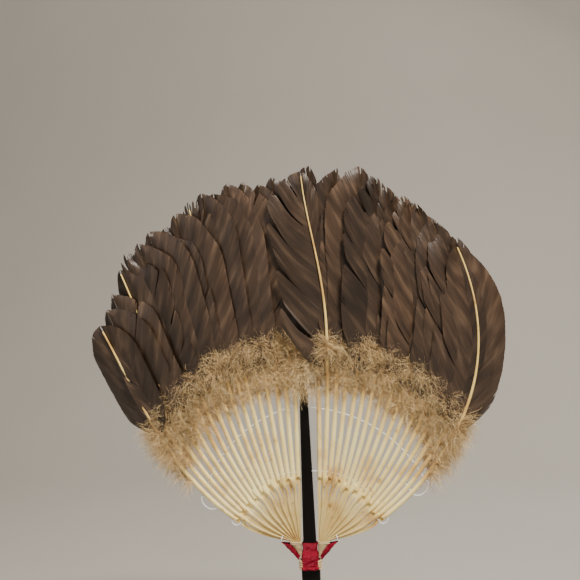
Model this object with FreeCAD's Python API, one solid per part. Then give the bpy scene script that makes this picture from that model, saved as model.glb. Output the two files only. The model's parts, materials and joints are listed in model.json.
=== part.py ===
import FreeCAD, Part

# Feather hand fan. Two banks of flight feathers, stripped to bare quills below and with their webs
# left on above, spread from the neck of a black lacquered stick that runs up between the banks.
# Each quill is a hollow barrel, cut on the slant near its foot so that only a thin tongue goes on
# down into the neck, where the tongues lie in two layers. Two lacing wires run through drilled holes
# in every quill and in the stick, and turn back outside the last quill of each bank. Each bank's
# tongues end in a stiff cloth cup, under a thread collar that gathers them. A cord binds the neck
# below the cups, and red cloth covers it and slings each cup's outer side.
#
# Frame: origin at the middle of the grip, +Z up the stick, +X to the right seen from the front,
# and the front faces -Y. Lengths are in millimetres and angles in degrees.

import math
import os

V = FreeCAD.Vector
Y_AXIS = V(0, 1, 0)

# The stick
GRIP_LENGTH = 125.0
GRIP_WIDTH = 17.0
GRIP_WAIST = 14.5
GRIP_END_WIDTH = 19.0
GRIP_THICKNESS = 8.0
SPINE_WIDTH = 13.0
SPINE_TIP_WIDTH = 7.0
SPINE_THICKNESS = 6.0
SPINE_TIP_THICKNESS = 4.0
SPINE_RISE = 172.0
STICK_CORNER = 1.6
HANG_HOLE_RADIUS = 2.0
HANG_HOLE_INSET = 11.0

# The fan's centre, from which distances along the feathers are measured
NECK_DROP = 20.5
FAN_Z = GRIP_LENGTH / 2 + NECK_DROP

# The feathers
FEATHERS = 17
BANK_X = 8.5
BANKS = {
    "left": {"sign": -1, "salt": 1, "first": -0.3, "step": 3.55, "tip": 352.0, "drop": 64.0, "hook": -2.5},
    "right": {"sign": 1, "salt": 2, "first": 2.5, "step": 3.43, "tip": 356.0, "drop": 45.0, "hook": 9.5},
}
SWEEP_AT = 121.0
SWEEP_SCALE = 93.0
SWEEP_BEND = 0.24
SWEEP_EASE = 0.03
HOOK_FROM = 165.0
HOOK_TO = 305.0
TIP_DROP_POWER = 2.2
ANGLE_WOBBLE = 0.45
LENGTH_WOBBLE = 6.0
BOW = 12.0
BOW_FROM = 140.0
BOW_TO = 350.0

# One feather of the right bank lies in front of the rest and leans over the middle
FRONT_BANK = "right"
FRONT_FEATHER = 1
FRONT_SHIFT = 9.5
FRONT_FROM = 138.0
FRONT_TO = 192.0
FRONT_LEAN = 3.4

# The quill barrels and their tongues
BARREL_FOOT = 62.0
FOOT_WOBBLE = 3.3
BARREL_RADII = [(0, 2.0), (100, 2.15), (140, 2.05), (172, 1.45), (240, 1.0), (300, 0.7), (400, 0.35)]
BARREL_WALL = 0.55
HOLLOW_TO = 150.0
SHAFT_FROM = 220.0
SHAFT_STEP = 22.0
SCARF_SLOPE = 28.0
TONGUE_THICKNESS = 1.25
LAYER_GAP = 0.12
TONGUE_JOINS = 45.0
TONGUE_WIDTH = 3.1
TONGUE_IN_BARREL = 3.55

# Where the tongues pass on their way down into a cup: the first and the last feather's distance
# from the middle, the height above the fan's centre, the last feather's lean and a tongue's width
TONGUE_STOPS = [
    {"x": (8.4, 12.4), "z": -2.0, "lean": 12.0, "width": 0.45},
    {"x": (8.6, 13.6), "z": 2.6, "lean": 38.0, "width": 0.6},
    {"x": (8.8, 16.4), "z": 5.2, "lean": 66.0, "width": 0.9},
]

# The lacing wires, from the first quill's distance to the last quill's
WIRE_DIAMETER = 1.1
WIRE_HOLE = 1.6
WIRE_TAIL_SHARE = 0.5
LACINGS = {
    "upper_lacing_wire": {"left": (135.0, 104.0), "right": (132.0, 119.0), "turn": 17.0, "out": 9.0},
    "lower_lacing_wire": {"left": (72.0, 70.0), "right": (73.0, 70.5), "turn": 8.5, "out": 5.5},
}

# The neck
CUP = [(17.6, 3.0), (7.6, 3.0), (7.6, -9.5)]
CUP_HALF_DEPTH = 3.2
CUP_WALL = 0.9
COLLAR_THREAD = 1.4
COLLAR_TURNS = 2
COLLAR_Z = 3.8
COLLAR_X = (7.9, 18.2)
BUNDLE_HALF_DEPTH = 1.7
CORD_DIAMETER = 2.2
CORD_CORNER = 1.5
CORD_TURNS = 4
CORD_Z = -19.2
CLOTH = 0.9
COVER_WIDTH = 16.0
COVER_TOP = 5.2
COVER_BOTTOM = -16.5
HEM_DIAMETER = 3.6
GUSSET = [(26.5, 5.4), (18.7, 3.4), (10.2, -7.4), (11.2, -12.0)]
GUSSET_HALF_DEPTH = 2.0
RING_RADIUS = 3.4
RING_WIRE = 0.9
RING_AT = (26.6, 8.4)
RING_LEAN = 70.0

# The webs and the down
WEB_FROM = 178.0
WEB_THICKNESS = 0.6
WEB_TILT = 14.0
WEB_STATIONS = [0.0, 0.12, 0.32, 0.55, 0.75, 0.9, 1.0]
TRAILING_WIDTH = 31.0
LEADING_WIDTH = 12.0
OUTER_LEADING_WIDTH = 19.0
FRONT_TRAILING_WIDTH = 42.0
FRONT_LEADING_WIDTH = 14.0
VANE_GROUPS = [range(0, 4), range(4, 7), range(7, 10), range(10, 14), range(14, 17)]
DOWN_FROM = 146.0
DOWN_TO = 175.0
DOWN_HALF_DEPTH = 3.4
DOWN_GAP_SHARE = 0.55


def wobble(number, salt):
    """A repeatable irregularity from -1 to 1, different for each feather."""
    raw = math.sin(12.9898 * number + 78.233 * salt) * 437.585
    return 2 * (raw - math.floor(raw)) - 1


def ease(value, start, end):
    """0 before start, 1 after end, and smooth between them."""
    t = min(1.0, max(0.0, (value - start) / (end - start)))
    return t * t * (3 - 2 * t)


def between(value, table):
    """Straight-line interpolation in a table of (place, size)."""
    for (a, size_a), (b, size_b) in zip(table, table[1:]):
        if value <= b:
            return size_a + (size_b - size_a) * (value - a) / (b - a)
    return table[-1][1]


def is_front(bank, k):
    return bank == FRONT_BANK and k == FRONT_FEATHER


# ---- Feather lines ----


def tip_distance(bank, k):
    drop = BANKS[bank]["drop"] * (k / (FEATHERS - 1)) ** TIP_DROP_POWER
    return BANKS[bank]["tip"] - drop + LENGTH_WOBBLE * wobble(k, 5 + BANKS[bank]["salt"])


def shaft_point(bank, k, distance):
    """The point of feather k's shaft at that distance from its bank's centre."""
    b = BANKS[bank]
    x = (distance - SWEEP_AT) / SWEEP_SCALE
    angle = b["first"] + b["step"] * k
    angle += ANGLE_WOBBLE * wobble(k, b["salt"]) * ease(distance, 70, 240)
    angle *= 1 - SWEEP_BEND * x + SWEEP_EASE * x * x
    hook = max(0.0, (distance - HOOK_FROM) / (HOOK_TO - HOOK_FROM)) ** 2
    angle -= b["hook"] * hook * (k / (FEATHERS - 1)) ** 2
    y = -BOW * max(0.0, (distance - BOW_FROM) / (BOW_TO - BOW_FROM)) ** 2
    if is_front(bank, k):
        y -= FRONT_SHIFT * ease(distance, FRONT_FROM, FRONT_TO)
        angle -= FRONT_LEAN * ease(distance, FRONT_TO, BOW_TO)
    a = math.radians(angle)
    return V(b["sign"] * (BANK_X + distance * math.sin(a)), y, FAN_Z + distance * math.cos(a))


def shaft_direction(bank, k, distance):
    step = shaft_point(bank, k, distance + 0.5) - shaft_point(bank, k, distance - 0.5)
    return step.normalize()


def outward(bank, direction):
    """The unit vector across the feather, in the fan's plane, away from the stick."""
    return direction.cross(Y_AXIS).normalize() * -BANKS[bank]["sign"]


def foot_distance(bank, k):
    return BARREL_FOOT + FOOT_WOBBLE * wobble(k, 9 + BANKS[bank]["salt"])


# ---- Shapes ----


def loft(wires, ruled=False):
    return Part.makeLoft(wires, True, ruled)


def circle_wire(point, direction, radius):
    """A circle in two halves, which meet at its front and its back."""
    across = direction.cross(Y_AXIS).normalize() * radius
    front, back = point - Y_AXIS * radius, point + Y_AXIS * radius
    halves = [Part.Arc(back, point + across, front), Part.Arc(front, point - across, back)]
    return Part.Wire([half.toShape() for half in halves])


def wire_path(points, closed=False):
    """Straight runs through the points, joined by tangent arcs as large as the runs allow."""
    count = len(points)
    corners = range(count) if closed else range(1, count - 1)
    arcs = {}
    for i in corners:
        before, here, after = points[i - 1], points[i], points[(i + 1) % count]
        into, out = (here - before), (after - here)
        turn = into.getAngle(out)
        if turn < 1e-3:
            arcs[i] = (here, None, here)
            continue
        cut = 0.45 * min(into.Length, out.Length)
        start = here - V(into).normalize() * cut
        end = here + V(out).normalize() * cut
        inward = (V(out).normalize() - V(into).normalize()).normalize()
        radius = cut / math.tan(turn / 2)
        middle = here + inward * (radius / math.cos(turn / 2) - radius)
        arcs[i] = (start, middle, end)
    edges = []
    order = list(range(count)) + ([0] if closed else [])
    for n, i in enumerate(order):
        start, middle, end = arcs.get(i, (points[i], None, points[i]))
        if n and (start - last).Length > 1e-6:
            edges.append(Part.LineSegment(last, start).toShape())
        if middle is not None and not (closed and n == count):
            edges.append(Part.Arc(start, middle, end).toShape())
        last = end
    return Part.Wire(edges)


def tube(points, diameter, closed=False):
    """A round tube along wire_path(points)."""
    path = wire_path(points, closed)
    first = path.Edges[0]
    start = first.valueAt(first.FirstParameter)
    direction = first.tangentAt(first.FirstParameter)
    section = Part.Wire([Part.makeCircle(diameter / 2, start, direction)])
    return path.makePipeShell([section], True, True)


def ring_points(x_low, x_high, y_half, z, corner):
    """Eight points of a flat ring round a rectangle, with cut corners."""
    return [
        V(x_low + corner, -y_half, z),
        V(x_high - corner, -y_half, z),
        V(x_high, -y_half + corner, z),
        V(x_high, y_half - corner, z),
        V(x_high - corner, y_half, z),
        V(x_low + corner, y_half, z),
        V(x_low, y_half - corner, z),
        V(x_low, -y_half + corner, z),
    ]


def rounded_rectangle(width, thickness, z, corner):
    """A horizontal closed wire of four lines and four arcs, centred on the stick."""
    x, y, r = width / 2, thickness / 2, min(corner, 0.45 * min(width, thickness))
    middle = r * (1 - math.sqrt(0.5))
    p = [
        V(x - r, -y, z), V(x - middle, -y + middle, z), V(x, -y + r, z),
        V(x, y - r, z), V(x - middle, y - middle, z), V(x - r, y, z),
        V(-x + r, y, z), V(-x + middle, y - middle, z), V(-x, y - r, z),
        V(-x, -y + r, z), V(-x + middle, -y + middle, z), V(-x + r, -y, z),
    ]
    edges = []
    for i in range(0, 12, 3):
        edges.append(Part.Arc(p[i], p[i + 1], p[i + 2]).toShape())
        edges.append(Part.LineSegment(p[i + 2], p[(i + 3) % 12]).toShape())
    return Part.Wire(edges)


def prism(outline, y_low, y_high):
    """A plate between two depths, with its outline given as (x, z)."""
    points = [V(x, y_low, z) for x, z in outline]
    face = Part.Face(Part.makePolygon(points + [points[0]]))
    return face.extrude(V(0, y_high - y_low, 0))


# ---- The stick ----


def handle(wires):
    low, high = -GRIP_LENGTH / 2, GRIP_LENGTH / 2
    levels = [
        (low, GRIP_END_WIDTH * 0.55, GRIP_THICKNESS * 0.55),
        (low + 1.2, GRIP_END_WIDTH * 0.80, GRIP_THICKNESS * 0.85),
        (low + 5.0, GRIP_END_WIDTH * 0.98, GRIP_THICKNESS),
        (low + 16.0, GRIP_END_WIDTH * 0.98, GRIP_THICKNESS),
        (0.0, GRIP_WAIST, GRIP_THICKNESS),
        (high - 14.0, GRIP_WIDTH, GRIP_THICKNESS),
        (high + 6.0, GRIP_WIDTH, GRIP_THICKNESS),
    ]
    grip = loft([rounded_rectangle(w, t, z, STICK_CORNER) for z, w, t in levels])
    foot, top = high + 6.0, FAN_Z + SPINE_RISE
    spine_levels = [
        (foot - 0.01, SPINE_WIDTH, SPINE_THICKNESS),
        (top - 6.0, SPINE_TIP_WIDTH, SPINE_TIP_THICKNESS),
        (top - 1.6, SPINE_TIP_WIDTH * 0.8, SPINE_TIP_THICKNESS * 0.8),
        (top, SPINE_TIP_WIDTH * 0.4, SPINE_TIP_THICKNESS * 0.4),
    ]
    spine = loft(
        [rounded_rectangle(w, t, z, STICK_CORNER * 0.8) for z, w, t in spine_levels], ruled=True
    )
    stick = grip.fuse(spine)
    hole_z = low + HANG_HOLE_INSET
    stick = stick.cut(Part.makeCylinder(HANG_HOLE_RADIUS, 40, V(0, -20, hole_z), Y_AXIS))
    for points in wires.values():
        left, right = points["left"][0], points["right"][0]
        stick = stick.cut(straight_hole(left, right))
    return stick


def straight_hole(start, end):
    return Part.makeCylinder(WIRE_HOLE / 2, (end - start).Length, start, end - start)


# ---- The quills ----


def tongue_line(bank, k):
    """A tongue's points, directions and widths, from its foot in the cup to below the barrel."""
    sign, share = BANKS[bank]["sign"], k / (FEATHERS - 1)
    line = []
    for stop in TONGUE_STOPS:
        first, last = stop["x"]
        lean = math.radians(stop["lean"] * share)
        point = V(sign * (first + (last - first) * share), 0, FAN_Z + stop["z"])
        line.append((point, V(sign * math.sin(lean), 0, math.cos(lean)), stop["width"]))
    start, into, narrow = line[-1]
    end = shaft_point(bank, k, TONGUE_JOINS)
    out = shaft_direction(bank, k, TONGUE_JOINS)
    reach = (end - start).Length / 3
    a, b = start + into * reach, end - out * reach
    for t in (0.25, 0.6):
        point = start * (1 - t) ** 3 + a * (3 * t * (1 - t) ** 2) + b * (3 * t * t * (1 - t)) + end * t**3
        slope = (a - start) * ((1 - t) ** 2) + (b - a) * (2 * t * (1 - t)) + (end - b) * (t * t)
        line.append((point, slope.normalize(), narrow + (TONGUE_WIDTH - narrow) * t))
    line.append((end, out, TONGUE_WIDTH))
    return line


def tongue(bank, k, foot):
    """The tongue left by the scarf, running down from the barrel's wall into the neck."""
    sections = []
    for point, direction, width in tongue_line(bank, k):
        thickness = min(TONGUE_THICKNESS, width / 2)
        sections.append(tongue_section(k, point, direction, width, thickness))
    for d in (foot - 4, foot + 7):
        point, direction = shaft_point(bank, k, d), shaft_direction(bank, k, d)
        width = TONGUE_IN_BARREL
        sections.append(tongue_section(k, point, direction, width, width / 2))
    return loft(sections)


def tongue_section(k, point, direction, width, thickness):
    """A D shape: flat on the fan's middle plane, rounded towards its own layer's side."""
    across = direction.cross(Y_AXIS).normalize() * (width / 2)
    layer = layer_side(k)
    flat = V(0, layer * LAYER_GAP, 0)
    top = V(0, layer * (LAYER_GAP + thickness), 0)
    a, b = point - across + flat, point + across + flat
    edges = [Part.LineSegment(a, b).toShape(), Part.Arc(b, point + top, a).toShape()]
    return Part.Wire(edges)


def layer_side(k):
    """-1 for a tongue in the front layer and 1 for one in the back layer."""
    return -1 if k % 2 else 1


def quill(bank, k, holes):
    foot, tip = foot_distance(bank, k), tip_distance(bank, k) - 7
    steps = round((tip - SHAFT_FROM) / SHAFT_STEP)
    stations = [foot - 5, foot + 12, 100, 125, 150, 172, 196]
    stations += [SHAFT_FROM + (tip - SHAFT_FROM) * n / steps for n in range(steps + 1)]
    sections = []
    for d in stations:
        radius = between(d, BARREL_RADII)
        sections.append(circle_wire(shaft_point(bank, k, d), shaft_direction(bank, k, d), radius))
    barrel = loft(sections)
    bore = []
    for d in (foot - 6, foot + 12, 100, 125, HOLLOW_TO):
        radius = between(d, BARREL_RADII) - BARREL_WALL
        bore.append(circle_wire(shaft_point(bank, k, d), shaft_direction(bank, k, d), radius))
    barrel = barrel.cut(loft(bore))
    barrel = barrel.cut(scarf(bank, k, foot))
    shape = barrel.fuse(tongue(bank, k, foot))
    for hole in holes:
        shape = shape.cut(hole)
    return shape


def scarf(bank, k, foot):
    """A block that cuts the barrel's foot on the slant, away from its tongue."""
    point, direction = shaft_point(bank, k, foot), shaft_direction(bank, k, foot)
    across = direction.cross(Y_AXIS).normalize()
    block = Part.makeBox(12, 40, 12, V(-6, -20, -12))
    turn = FreeCAD.Rotation(across, Y_AXIS, direction, "ZXY")
    tilt = FreeCAD.Rotation(across, layer_side(k) * (90 - SCARF_SLOPE))
    block.Placement = FreeCAD.Placement(point, tilt.multiply(turn))
    return block


# ---- The lacing wires ----


def lacing_points(wire):
    """For each bank, the points where the wire crosses the quills, first to last, then its turn
    back outside the last quill and through the last two again."""
    route = {}
    for bank, b in BANKS.items():
        first, last = wire[bank]
        crossings = []
        for k in range(FEATHERS):
            crossings.append(shaft_point(bank, k, first + (last - first) * k / (FEATHERS - 1)))
        end = FEATHERS - 1
        down = -shaft_direction(bank, end, last)
        out = outward(bank, down * -1)
        back = [shaft_point(bank, k, last - wire["turn"]) for k in (end, end - 1)]
        reach = wire["out"]
        loop = [
            crossings[-1] + out * (0.62 * reach),
            crossings[-1] + out * reach + down * (0.35 * wire["turn"]),
            back[0] + out * (0.95 * reach) - down * (0.22 * wire["turn"]),
            back[0] + out * (0.5 * reach),
        ]
        tail = back[1] + (back[1] - back[0]) * WIRE_TAIL_SHARE
        route[bank] = crossings + loop + back + [tail]
    return route


def lacing_holes(routes, bank, k):
    """The holes drilled across quill k, one for each crossing of each wire."""
    holes = []
    for points in routes.values():
        route = points[bank]
        places = [i for i in range(FEATHERS) if i == k]
        if k >= FEATHERS - 2:
            places.append(FEATHERS + 4 + (FEATHERS - 1 - k))
        for i in places:
            before = route[i - 1] if i else points[other_bank(bank)][0]
            along = (route[i + 1] - before).normalize()
            start = route[i] - along * 3.4
            holes.append(Part.makeCylinder(WIRE_HOLE / 2, 6.8, start, along))
    return holes


def other_bank(bank):
    return "right" if bank == "left" else "left"


# ---- The neck ----


def cup(bank):
    """The wedge-shaped pocket that takes one bank's tongues, open at its top."""
    sign = BANKS[bank]["sign"]
    outer = [(sign * x, FAN_Z + z) for x, z in CUP]
    (wide, top), (near, _), (_, low) = CUP
    inside = near + CUP_WALL
    inner = [(wide - 2 * CUP_WALL, top + 1), (inside, top + 1), (inside, low + 4 * CUP_WALL)]
    hollow = [(sign * x, FAN_Z + z) for x, z in inner]
    depth = CUP_HALF_DEPTH - CUP_WALL
    return prism(outer, -CUP_HALF_DEPTH, CUP_HALF_DEPTH).cut(prism(hollow, -depth, depth))


def collar(bank):
    """Turns of thread round the tongues of one bank, on the rim of its cup."""
    sign = BANKS[bank]["sign"]
    turns = []
    for n in range(COLLAR_TURNS):
        z = COLLAR_Z + n * (COLLAR_THREAD + 0.02)
        half = BUNDLE_HALF_DEPTH + COLLAR_THREAD / 2
        points = ring_points(*COLLAR_X, half, FAN_Z + z, 1.6)
        turns.append(tube([V(sign * p.x, p.y, p.z) for p in points], COLLAR_THREAD, closed=True))
    return Part.makeCompound(turns)


def binding_cord():
    """Turns of cord round the stick, below the feathers' feet."""
    turns = []
    for n in range(CORD_TURNS):
        z = FAN_Z + CORD_Z + n * (CORD_DIAMETER + 0.05)
        x = GRIP_WIDTH / 2 + CORD_DIAMETER / 2 + 0.1
        y = GRIP_THICKNESS / 2 + CORD_DIAMETER / 2 + 0.1
        turns.append(tube(ring_points(-x, x, y, z, CORD_CORNER), CORD_DIAMETER, closed=True))
    return Part.makeCompound(turns)


def cover(side):
    """The cloth strip on the front, side -1, or the back, side 1, of the neck."""
    near = SPINE_THICKNESS / 2 + 0.3
    far = GRIP_THICKNESS / 2 + CORD_DIAMETER + 0.5
    step_z = CORD_Z + (CORD_TURNS - 0.5) * CORD_DIAMETER + 0.5
    line = [(near, COVER_TOP), (near + 1.2, step_z + 6.5), (far, step_z), (far, COVER_BOTTOM)]
    outer = [(y + CLOTH, z + 0.3 * (i in (1, 2))) for i, (y, z) in enumerate(line)]
    outline = line + outer[::-1]
    points = [V(-COVER_WIDTH / 2, side * y, FAN_Z + z) for y, z in outline]
    face = Part.Face(Part.makePolygon(points + [points[0]]))
    return face.extrude(V(COVER_WIDTH, 0, 0))


def cover_hems():
    """The rolled lower edges of the front and back covers."""
    y = GRIP_THICKNESS / 2 + CORD_DIAMETER + 0.5 + HEM_DIAMETER / 2
    z = FAN_Z + COVER_BOTTOM - HEM_DIAMETER / 2 - 0.05
    rolls = []
    for side in (-1, 1):
        start = V(-COVER_WIDTH / 2 - 0.2, side * y, z)
        rolls.append(Part.makeCylinder(HEM_DIAMETER / 2, COVER_WIDTH + 0.4, start, V(1, 0, 0)))
    return Part.makeCompound(rolls)


def gusset(bank):
    """A folded cloth sling outside one bank's cup: two layers joined along their lower edge."""
    sign = BANKS[bank]["sign"]
    outline = [(sign * x, FAN_Z + z) for x, z in GUSSET]
    outer_top, inner_top, inner_low, outer_low = outline
    hollow = [(x, z + 1.6 * CLOTH) for x, z in (inner_low, outer_low)]
    hollow += [(x, z + 6.0) for x, z in (outer_top, inner_top)]
    half = GUSSET_HALF_DEPTH + CLOTH
    return prism(outline, -half, half).cut(prism(hollow, -GUSSET_HALF_DEPTH, GUSSET_HALF_DEPTH))


def gusset_rings():
    """A ring of line round each bank's last tongue, which holds its gusset's outer corner."""
    rings = []
    for bank in BANKS:
        sign, lean = BANKS[bank]["sign"], math.radians(RING_LEAN)
        centre = V(sign * RING_AT[0], 0, FAN_Z + RING_AT[1])
        direction = V(sign * math.sin(lean), 0, math.cos(lean))
        rings.append(Part.makeTorus(RING_RADIUS, RING_WIRE / 2, centre, direction))
    return Part.makeCompound(rings)


# ---- The webs and the down ----


def web_widths(bank, k):
    """The widest trailing and leading web of feather k. Trailing is towards the stick."""
    if is_front(bank, k):
        return FRONT_TRAILING_WIDTH, FRONT_LEADING_WIDTH
    across_middle = shaft_point(bank, k, 230).x * BANKS[bank]["sign"] - 1.5
    leading = OUTER_LEADING_WIDTH if k == FEATHERS - 1 else LEADING_WIDTH
    return min(TRAILING_WIDTH, across_middle), leading


def web_outline(u):
    """A web's share of its full width, from its base, 0, to the feather's tip, 1."""
    rise = 0.45 + 0.55 * ease(u, 0.0, 0.35)
    rounding = math.sqrt(max(0.0, 1 - max(0.0, (u - 0.72) / 0.28) ** 2))
    return rise * max(0.12, rounding)


def web(bank, k, towards_stick):
    tip = tip_distance(bank, k)
    trailing, leading = web_widths(bank, k)
    full = trailing if towards_stick else leading
    tilt = math.radians(0.0 if is_front(bank, k) else WEB_TILT)
    sections = []
    for u in WEB_STATIONS:
        d = WEB_FROM + (tip - WEB_FROM) * u
        point, direction = shaft_point(bank, k, d), shaft_direction(bank, k, d)
        side = -1 if towards_stick else 1
        reach = outward(bank, direction) * (side * math.cos(tilt)) + Y_AXIS * (side * math.sin(tilt))
        reach.normalize()
        rise = direction.cross(reach).normalize() * (WEB_THICKNESS / 2)
        near = between(d, BARREL_RADII) + 0.05
        far = near + 0.5 + full * web_outline(u)
        corners = [point + reach * near - rise, point + reach * far - rise,
                   point + reach * far + rise, point + reach * near + rise]
        sections.append(Part.makePolygon(corners + [corners[0]]))
    return loft(sections, ruled=True)


def vanes(bank, feathers):
    solids = []
    for k in feathers:
        solids.append(web(bank, k, True))
        solids.append(web(bank, k, False))
    return Part.makeCompound(solids)


def down(bank):
    """A tuft of down in each gap between neighbouring quills, below the webs."""
    tufts = []
    for k in range(FEATHERS - 1):
        sections = []
        for d in (DOWN_FROM, DOWN_TO):
            near, far = shaft_point(bank, k, d), shaft_point(bank, k + 1, d)
            if is_front(bank, k) or is_front(bank, k + 1):
                near.y = far.y = 0
            middle, half = (near + far) * 0.5, (far - near) * (0.5 * DOWN_GAP_SHARE)
            half *= max(0.25, 1 - 2 * between(d, BARREL_RADII) / (far - near).Length)
            depth = V(0, DOWN_HALF_DEPTH, 0)
            corners = [middle - half - depth, middle + half - depth, middle + half + depth,
                       middle - half + depth]
            sections.append(Part.makePolygon(corners + [corners[0]]))
        tufts.append(loft(sections, ruled=True))
    return Part.makeCompound(tufts)


# ---- Assembly ----


def build():
    """Every node's shape by name."""
    routes = {name: lacing_points(wire) for name, wire in LACINGS.items()}
    nodes = {"handle": handle(routes)}
    for bank in BANKS:
        for k in range(FEATHERS):
            nodes[f"{bank}_quill_{k + 1:02d}"] = quill(bank, k, lacing_holes(routes, bank, k))
        for n, group in enumerate(VANE_GROUPS):
            nodes[f"{bank}_vanes_{n + 1}"] = vanes(bank, group)
        nodes[f"{bank}_down"] = down(bank)
        nodes[f"{bank}_cup"] = cup(bank)
        nodes[f"{bank}_collar"] = collar(bank)
        nodes[f"{bank}_gusset"] = gusset(bank)
    for name, points in routes.items():
        nodes[name] = tube(points["left"][::-1] + points["right"], WIRE_DIAMETER)
    nodes["gusset_rings"] = gusset_rings()
    nodes["binding_cord"] = binding_cord()
    nodes["front_cover"] = cover(-1)
    nodes["back_cover"] = cover(1)
    nodes["cover_hems"] = cover_hems()
    return nodes


def main():
    os.makedirs("parts", exist_ok=True)
    for name, shape in build().items():
        shape.exportStep(f"parts/{name}.step")
        solids = shape.Solids
        good = all(s.isValid() and s.Volume > 0 for s in solids)
        print(f"{name}: {len(solids)} solids, {shape.Volume:.1f} mm3, valid {good}")


main()
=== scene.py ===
import json
import math

import bpy
import numpy as np
from mathutils import Matrix, Vector


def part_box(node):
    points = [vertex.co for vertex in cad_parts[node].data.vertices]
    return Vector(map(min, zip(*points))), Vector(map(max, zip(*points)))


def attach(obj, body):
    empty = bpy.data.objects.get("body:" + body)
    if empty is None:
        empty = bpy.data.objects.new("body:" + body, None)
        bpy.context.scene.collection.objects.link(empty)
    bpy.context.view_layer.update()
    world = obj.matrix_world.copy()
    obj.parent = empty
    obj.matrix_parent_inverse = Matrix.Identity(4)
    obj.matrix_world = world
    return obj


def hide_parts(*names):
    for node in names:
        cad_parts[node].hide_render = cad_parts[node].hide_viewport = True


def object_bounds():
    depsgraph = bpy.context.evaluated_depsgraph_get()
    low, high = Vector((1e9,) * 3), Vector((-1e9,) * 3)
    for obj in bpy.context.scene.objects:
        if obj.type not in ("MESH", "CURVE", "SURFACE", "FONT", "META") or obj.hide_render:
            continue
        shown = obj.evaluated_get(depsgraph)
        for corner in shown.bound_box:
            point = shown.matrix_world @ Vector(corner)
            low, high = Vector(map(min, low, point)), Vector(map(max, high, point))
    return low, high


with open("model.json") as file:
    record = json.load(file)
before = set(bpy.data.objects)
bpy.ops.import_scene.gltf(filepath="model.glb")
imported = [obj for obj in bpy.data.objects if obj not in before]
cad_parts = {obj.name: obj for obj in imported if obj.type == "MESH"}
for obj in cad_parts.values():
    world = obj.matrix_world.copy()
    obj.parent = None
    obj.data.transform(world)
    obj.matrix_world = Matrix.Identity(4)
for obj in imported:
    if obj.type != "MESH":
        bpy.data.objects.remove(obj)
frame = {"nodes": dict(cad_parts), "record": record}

CAD_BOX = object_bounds()

# A feather hand fan. Two banks of flight feathers spread from the bound neck of a lacquered stick.
# The quills, the stick, the lacing and the threads are the design's own parts and get materials here.
# The webs, the down and the red cloth are made here, and stand for the design's plain solids.
#
# Lengths below are in millimetres, unless a name says otherwise, and MM brings them to metres.

MM = 0.001
BODY = "root"
FEATHERS = 17
NODES = frame["nodes"]
Y_AXIS = np.array([0.0, 1.0, 0.0])

# ---- The feathers' lines, which are the design's own ----

FAN_Z = 83.0                     # the height of both banks' centres
BANK_X = 8.5                     # their distance from the stick's middle
# Feathers start at "first" degrees from upright and open by "step" each. "tip" is the reach of the
# innermost, "drop" how much shorter the outermost is, and "hook" how far its end turns back in.
BANKS = {
    "left": {"sign": -1, "salt": 1, "first": -0.3, "step": 3.55, "tip": 352.0, "drop": 64.0,
             "hook": -2.5},
    "right": {"sign": 1, "salt": 2, "first": 2.5, "step": 3.43, "tip": 356.0, "drop": 45.0,
              "hook": 9.5},
}
# The sweep narrows the fan with distance, and the bow brings the tips forward
SWEEP_AT, SWEEP_SCALE, SWEEP_BEND, SWEEP_EASE = 121.0, 93.0, 0.24, 0.03
HOOK_FROM, HOOK_TO, TIP_DROP_POWER = 165.0, 305.0, 2.2
ANGLE_WOBBLE, LENGTH_WOBBLE = 0.45, 6.0
BOW, BOW_FROM, BOW_TO = 12.0, 140.0, 350.0
FRONT = ("right", 1)             # the feather that stands and leans before the others
FRONT_SHIFT, FRONT_FROM, FRONT_TO, FRONT_LEAN = 9.5, 138.0, 192.0, 3.4
SHAFT_RADII = [(0, 2.0), (100, 2.15), (140, 2.05), (172, 1.45), (240, 1.0), (300, 0.7), (400, 0.35)]


def wobble(number, salt):
    """A repeatable irregularity from -1 to 1, different for each feather."""
    raw = math.sin(12.9898 * number + 78.233 * salt) * 437.585
    return 2 * (raw - math.floor(raw)) - 1


def ease(value, start, end):
    """0 before start, 1 after end, and smooth between them."""
    t = np.clip((value - start) / (end - start), 0.0, 1.0)
    return t * t * (3 - 2 * t)


def tip_distance(bank, k):
    """How far feather k reaches from its bank's centre."""
    drop = BANKS[bank]["drop"] * (k / (FEATHERS - 1)) ** TIP_DROP_POWER
    return BANKS[bank]["tip"] - drop + LENGTH_WOBBLE * wobble(k, 5 + BANKS[bank]["salt"])


def shaft_points(bank, k, distance):
    """Points of feather k's shaft at those distances from its bank's centre, as rows."""
    b = BANKS[bank]
    distance = np.asarray(distance, float)
    x = (distance - SWEEP_AT) / SWEEP_SCALE
    angle = b["first"] + b["step"] * k + ANGLE_WOBBLE * wobble(k, b["salt"]) * ease(distance, 70, 240)
    angle = angle * (1 - SWEEP_BEND * x + SWEEP_EASE * x * x)
    hook = np.maximum(0.0, (distance - HOOK_FROM) / (HOOK_TO - HOOK_FROM)) ** 2
    angle = angle - b["hook"] * hook * (k / (FEATHERS - 1)) ** 2
    y = -BOW * np.maximum(0.0, (distance - BOW_FROM) / (BOW_TO - BOW_FROM)) ** 2
    if (bank, k) == FRONT:
        y = y - FRONT_SHIFT * ease(distance, FRONT_FROM, FRONT_TO)
        angle = angle - FRONT_LEAN * ease(distance, FRONT_TO, BOW_TO)
    a = np.radians(angle)
    across = b["sign"] * (BANK_X + distance * np.sin(a))
    return np.stack([across, y, FAN_Z + distance * np.cos(a)], -1)


def shaft_radius(distance):
    places, sizes = zip(*SHAFT_RADII)
    return np.interp(distance, places, sizes)


def unit(v):
    return v / np.linalg.norm(v, axis=-1, keepdims=True)


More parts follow.
